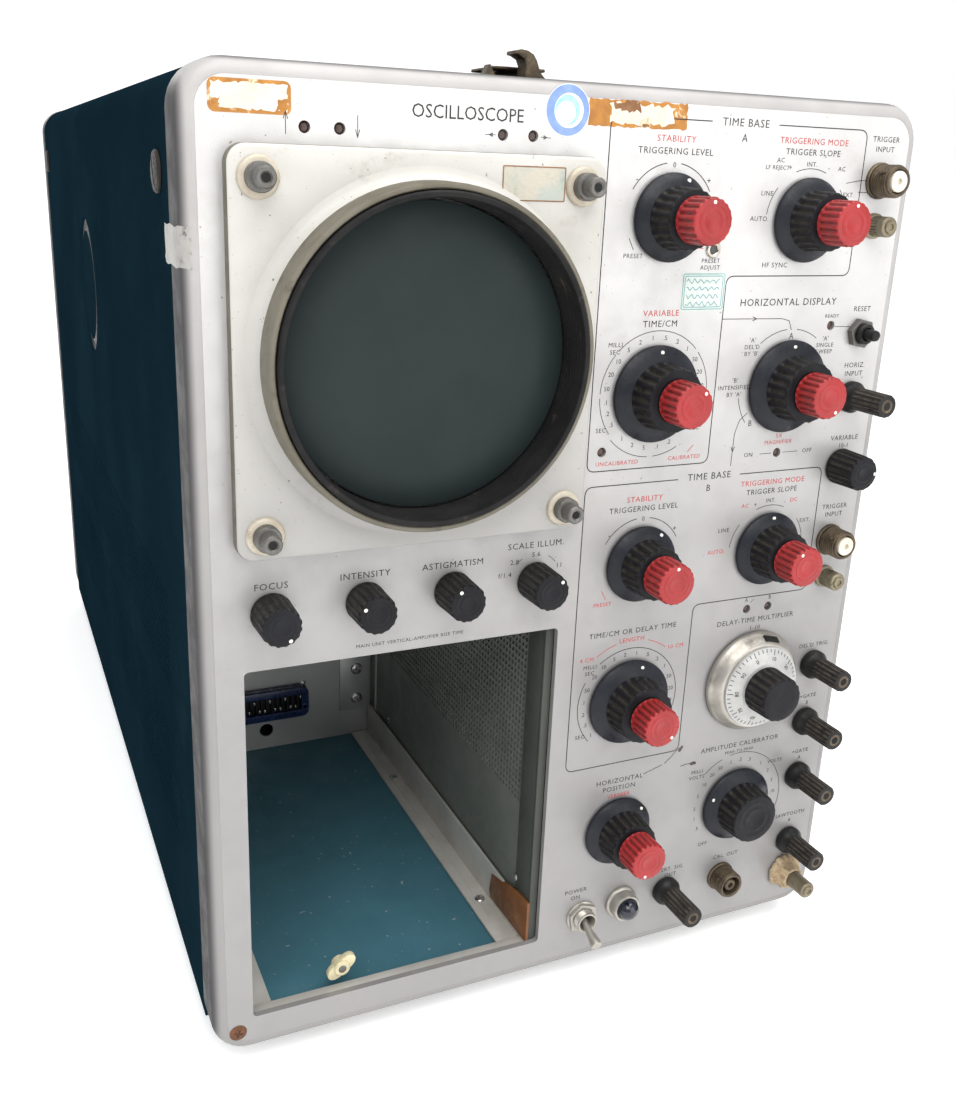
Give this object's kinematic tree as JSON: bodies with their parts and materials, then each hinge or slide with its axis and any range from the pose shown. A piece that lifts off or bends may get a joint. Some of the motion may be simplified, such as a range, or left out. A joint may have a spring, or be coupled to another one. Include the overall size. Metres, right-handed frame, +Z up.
{
  "type": "oscilloscope",
  "caption": "Bench oscilloscope with a round cathode ray tube, rows of two-part knobs, an empty plug-in bay, swing-out side covers and a rear fan.",
  "frame": {"origin": "centre of the whole part's footprint, at the underside of the feet", "axes": "+X right along the front panel, +Y from the front panel to the rear, +Z up; the panel's face is at Y = -0.2955"},
  "size_m": [0.3336, 0.653, 0.441],
  "materials": {
    "cast_aluminium": "satin cast, rounded edges, scuffed",
    "anodised_panel": "satin etched and anodised, printed black and red",
    "blue_wrinkle_paint": "fine wrinkle enamel",
    "cream_paint": "satin enamel with specks",
    "black_phenolic": "moulded, dusty flutes",
    "red_plastic": "moulded, fluted",
    "green_filter": "tinted sheet",
    "tube_glass": "clear, coated inside",
    "brown_phenolic": "moulded",
    "dark_steel": "annealed shield and motor shell",
    "plated_sheet": "plated sheet",
    "connector_blue": "moulded",
    "transformer_black": "lacquered laminations and shell",
    "nylon": "aged",
    "strap_leather": "dark strap with metal ends",
    "nickel_plate": "dull nickel",
    "filter_mesh": "crimped mesh pad in a frame"
  },
  "bodies": {
    "root": {"front_frame": "cast_aluminium", "front_panel": "anodised_panel", "top_cover": "blue_wrinkle_paint", "bottom_cover": "blue_wrinkle_paint", "rear_panel": "cast_aluminium", "air_filter": "filter_mesh", "crt_bezel": "cream_paint", "crt_light_hood": "black_phenolic", "crt_filter": "green_filter", "crt_envelope": "tube_glass", "crt_gun_and_base": "brown_phenolic", "crt_socket": "black_phenolic", "crt_shield": "dark_steel", "bay_liner": "plated_sheet", "plug_in_connector": "connector_blue", "sweep_chassis": "plated_sheet", "power_chassis": "plated_sheet", "power_transformer": "transformer_black", "fan_motor": "dark_steel"},
    "knob_level_a": {"knob_level_a": "black_phenolic"},
    "cap_stability_a": {"cap_stability_a": "red_plastic"},
    "knob_slope_a": {"knob_slope_a": "black_phenolic"},
    "cap_mode_a": {"cap_mode_a": "red_plastic"},
    "knob_time_a": {"knob_time_a": "black_phenolic"},
    "cap_variable_a": {"cap_variable_a": "red_plastic"},
    "knob_display": {"knob_display": "black_phenolic"},
    "cap_magnifier": {"cap_magnifier": "red_plastic"},
    "knob_level_b": {"knob_level_b": "black_phenolic"},
    "cap_stability_b": {"cap_stability_b": "red_plastic"},
    "knob_slope_b": {"knob_slope_b": "black_phenolic"},
    "cap_mode_b": {"cap_mode_b": "red_plastic"},
    "knob_time_b": {"knob_time_b": "black_phenolic"},
    "cap_length_b": {"cap_length_b": "red_plastic"},
    "knob_position": {"knob_position": "black_phenolic"},
    "cap_vernier": {"cap_vernier": "red_plastic"},
    "knob_calibrator": {"knob_calibrator": "black_phenolic"},
    "knob_focus": {"knob_focus": "black_phenolic"},
    "knob_intensity": {"knob_intensity": "black_phenolic"},
    "knob_astigmatism": {"knob_astigmatism": "black_phenolic"},
    "knob_scale_illum": {"knob_scale_illum": "black_phenolic"},
    "knob_variable_gain": {"knob_variable_gain": "black_phenolic"},
    "post_horizontal_input": {"post_horizontal_input": "black_phenolic"},
    "post_delayed_trigger": {"post_delayed_trigger": "black_phenolic"},
    "post_gate_b": {"post_gate_b": "black_phenolic"},
    "post_gate_a": {"post_gate_a": "black_phenolic"},
    "post_sawtooth_a": {"post_sawtooth_a": "black_phenolic"},
    "post_vertical_signal": {"post_vertical_signal": "black_phenolic"},
    "delay_dial": {"delay_dial": "black_phenolic"},
    "delay_turns_ring": {"delay_turns_ring": "nickel_plate"},
    "reset_button": {"reset_button": "black_phenolic"},
    "power_toggle_lever": {"power_toggle_lever": "nickel_plate"},
    "bay_latch_cam": {"bay_latch_cam": "nylon"},
    "fan_blade": {"fan_blade": "plated_sheet"},
    "handle_strap": {"handle_strap": "strap_leather"},
    "left_cover": {"left_cover": "blue_wrinkle_paint"},
    "left_latch_front": {"left_latch_front": "nickel_plate"},
    "left_latch_rear": {"left_latch_rear": "nickel_plate"},
    "right_cover": {"right_cover": "blue_wrinkle_paint"},
    "right_latch_front": {"right_latch_front": "nickel_plate"},
    "right_latch_rear": {"right_latch_rear": "nickel_plate"}
  },
  "joints": [
    {"name": "knob_level_a_turn", "type": "hinge", "parent": "root", "child": "knob_level_a", "pos_m": [0.0351, -0.2955, 0.3745], "axis": [0, 1, 0], "range_deg": [-150, 150]},
    {"name": "cap_stability_a_turn", "type": "hinge", "parent": "root", "child": "cap_stability_a", "pos_m": [0.0351, -0.2955, 0.3745], "axis": [0, 1, 0], "range_deg": [-150, 150]},
    {"name": "knob_slope_a_turn", "type": "hinge", "parent": "root", "child": "knob_slope_a", "pos_m": [0.106, -0.2955, 0.3745], "axis": [0, 1, 0], "range_deg": [-90, 90]},
    {"name": "cap_mode_a_turn", "type": "hinge", "parent": "root", "child": "cap_mode_a", "pos_m": [0.106, -0.2955, 0.3745], "axis": [0, 1, 0], "range_deg": [-60, 60]},
    {"name": "knob_time_a_turn", "type": "hinge", "parent": "root", "child": "knob_time_a", "pos_m": [0.0351, -0.2955, 0.3007], "axis": [0, 1, 0], "range_deg": [-150, 180]},
    {"name": "cap_variable_a_turn", "type": "hinge", "parent": "root", "child": "cap_variable_a", "pos_m": [0.0351, -0.2955, 0.3007], "axis": [0, 1, 0], "range_deg": [-150, 150]},
    {"name": "knob_display_turn", "type": "hinge", "parent": "root", "child": "knob_display", "pos_m": [0.106, -0.2955, 0.301], "axis": [0, 1, 0], "range_deg": [-60, 60]},
    {"name": "cap_magnifier_turn", "type": "hinge", "parent": "root", "child": "cap_magnifier", "pos_m": [0.106, -0.2955, 0.301], "axis": [0, 1, 0], "range_deg": [-60, 0]},
    {"name": "knob_level_b_turn", "type": "hinge", "parent": "root", "child": "knob_level_b", "pos_m": [0.0351, -0.2955, 0.2225], "axis": [0, 1, 0], "range_deg": [-150, 150]},
    {"name": "cap_stability_b_turn", "type": "hinge", "parent": "root", "child": "cap_stability_b", "pos_m": [0.0351, -0.2955, 0.2225], "axis": [0, 1, 0], "range_deg": [-150, 150]},
    {"name": "knob_slope_b_turn", "type": "hinge", "parent": "root", "child": "knob_slope_b", "pos_m": [0.106, -0.2955, 0.2225], "axis": [0, 1, 0], "range_deg": [-90, 90]},
    {"name": "cap_mode_b_turn", "type": "hinge", "parent": "root", "child": "cap_mode_b", "pos_m": [0.106, -0.2955, 0.2225], "axis": [0, 1, 0], "range_deg": [-60, 60]},
    {"name": "knob_time_b_turn", "type": "hinge", "parent": "root", "child": "knob_time_b", "pos_m": [0.0351, -0.2955, 0.1533], "axis": [0, 1, 0], "range_deg": [-150, 180]},
    {"name": "cap_length_b_turn", "type": "hinge", "parent": "root", "child": "cap_length_b", "pos_m": [0.0351, -0.2955, 0.1533], "axis": [0, 1, 0], "range_deg": [-150, 150]},
    {"name": "knob_position_turn", "type": "hinge", "parent": "root", "child": "knob_position", "pos_m": [0.0351, -0.2955, 0.083], "axis": [0, 1, 0], "range_deg": [-150, 150]},
    {"name": "cap_vernier_turn", "type": "hinge", "parent": "root", "child": "cap_vernier", "pos_m": [0.0351, -0.2955, 0.083], "axis": [0, 1, 0], "range_deg": [-150, 150]},
    {"name": "knob_calibrator_turn", "type": "hinge", "parent": "root", "child": "knob_calibrator", "pos_m": [0.106, -0.2955, 0.083], "axis": [0, 1, 0], "range_deg": [-150, 180]},
    {"name": "knob_focus_turn", "type": "hinge", "parent": "root", "child": "knob_focus", "pos_m": [-0.1357, -0.2955, 0.2205], "axis": [0, 1, 0], "range_deg": [-150, 150]},
    {"name": "knob_intensity_turn", "type": "hinge", "parent": "root", "child": "knob_intensity", "pos_m": [-0.0965, -0.2955, 0.2205], "axis": [0, 1, 0], "range_deg": [-150, 150]},
    {"name": "knob_astigmatism_turn", "type": "hinge", "parent": "root", "child": "knob_astigmatism", "pos_m": [-0.0575, -0.2955, 0.2205], "axis": [0, 1, 0], "range_deg": [-150, 150]},
    {"name": "knob_scale_illum_turn", "type": "hinge", "parent": "root", "child": "knob_scale_illum", "pos_m": [-0.0185, -0.2955, 0.2205], "axis": [0, 1, 0], "range_deg": [-150, 150]},
    {"name": "knob_variable_gain_turn", "type": "hinge", "parent": "root", "child": "knob_variable_gain", "pos_m": [0.1446, -0.2955, 0.2604], "axis": [0, 1, 0], "range_deg": [-150, 150]},
    {"name": "post_horizontal_input_turn", "type": "hinge", "parent": "root", "child": "post_horizontal_input", "pos_m": [0.1446, -0.2955, 0.2944], "axis": [0, 1, 0], "range_deg": [-720, 0]},
    {"name": "post_delayed_trigger_turn", "type": "hinge", "parent": "root", "child": "post_delayed_trigger", "pos_m": [0.1446, -0.2955, 0.156], "axis": [0, 1, 0], "range_deg": [-720, 0]},
    {"name": "post_gate_b_turn", "type": "hinge", "parent": "root", "child": "post_gate_b", "pos_m": [0.1446, -0.2955, 0.1237], "axis": [0, 1, 0], "range_deg": [-720, 0]},
    {"name": "post_gate_a_turn", "type": "hinge", "parent": "root", "child": "post_gate_a", "pos_m": [0.1446, -0.2955, 0.0918], "axis": [0, 1, 0], "range_deg": [-720, 0]},
    {"name": "post_sawtooth_a_turn", "type": "hinge", "parent": "root", "child": "post_sawtooth_a", "pos_m": [0.1446, -0.2955, 0.0525], "axis": [0, 1, 0], "range_deg": [-720, 0]},
    {"name": "post_vertical_signal_turn", "type": "hinge", "parent": "root", "child": "post_vertical_signal", "pos_m": [0.0678, -0.2955, 0.04], "axis": [0, 1, 0], "range_deg": [-720, 0]},
    {"name": "delay_dial_turn", "type": "hinge", "parent": "root", "child": "delay_dial", "pos_m": [0.106, -0.2955, 0.153], "axis": [0, 1, 0], "range_deg": [0, 3600]},
    {"name": "delay_turns_ring_turn", "type": "hinge", "parent": "root", "child": "delay_turns_ring", "pos_m": [0.106, -0.2955, 0.153], "axis": [0, 1, 0], "range_deg": [0, 360]},
    {"name": "reset_button_press", "type": "slide", "parent": "root", "child": "reset_button", "axis": [0, 1, 0], "range_m": [0, 0.003], "stiffness_N_per_m": 300},
    {"name": "power_toggle_flip", "type": "hinge", "parent": "root", "child": "power_toggle_lever", "pos_m": [0.0187, -0.2955, 0.037], "axis": [-1, 0, 0], "range_deg": [0, 40]},
    {"name": "bay_latch_cam_turn", "type": "hinge", "parent": "root", "child": "bay_latch_cam", "pos_m": [-0.1037, -0.286, 0.0356], "axis": [0, 1, 0], "range_deg": [0, 90]},
    {"name": "fan_spin", "type": "hinge", "parent": "root", "child": "fan_blade", "pos_m": [0.07, 0.2865, 0.14], "axis": [0, 1, 0], "continuous": true},
    {"name": "handle_strap_lift", "type": "slide", "parent": "root", "child": "handle_strap", "axis": [0, 0, 1], "range_m": [0, 0.008]},
    {"name": "left_cover_swing", "type": "hinge", "parent": "root", "child": "left_cover", "pos_m": [-0.1645, 0.0155, 0.016], "axis": [0, -1, 0], "range_deg": [0, 75]},
    {"name": "left_latch_front_turn", "type": "hinge", "parent": "left_cover", "child": "left_latch_front", "pos_m": [-0.166, -0.2505, 0.386], "axis": [-1, 0, 0], "range_deg": [0, 90]},
    {"name": "left_latch_rear_turn", "type": "hinge", "parent": "left_cover", "child": "left_latch_rear", "pos_m": [-0.166, 0.2815, 0.386], "axis": [-1, 0, 0], "range_deg": [0, 90]},
    {"name": "right_cover_swing", "type": "hinge", "parent": "root", "child": "right_cover", "pos_m": [0.1645, 0.0155, 0.016], "axis": [0, 1, 0], "range_deg": [0, 75]},
    {"name": "right_latch_front_turn", "type": "hinge", "parent": "right_cover", "child": "right_latch_front", "pos_m": [0.166, -0.2505, 0.386], "axis": [1, 0, 0], "range_deg": [0, 90]},
    {"name": "right_latch_rear_turn", "type": "hinge", "parent": "right_cover", "child": "right_latch_rear", "pos_m": [0.166, 0.2815, 0.386], "axis": [1, 0, 0], "range_deg": [0, 90]}
  ],
  "couplings": [
    {"joint": "delay_turns_ring_turn", "follows": "delay_dial_turn", "ratio": 0.1}
  ]
}
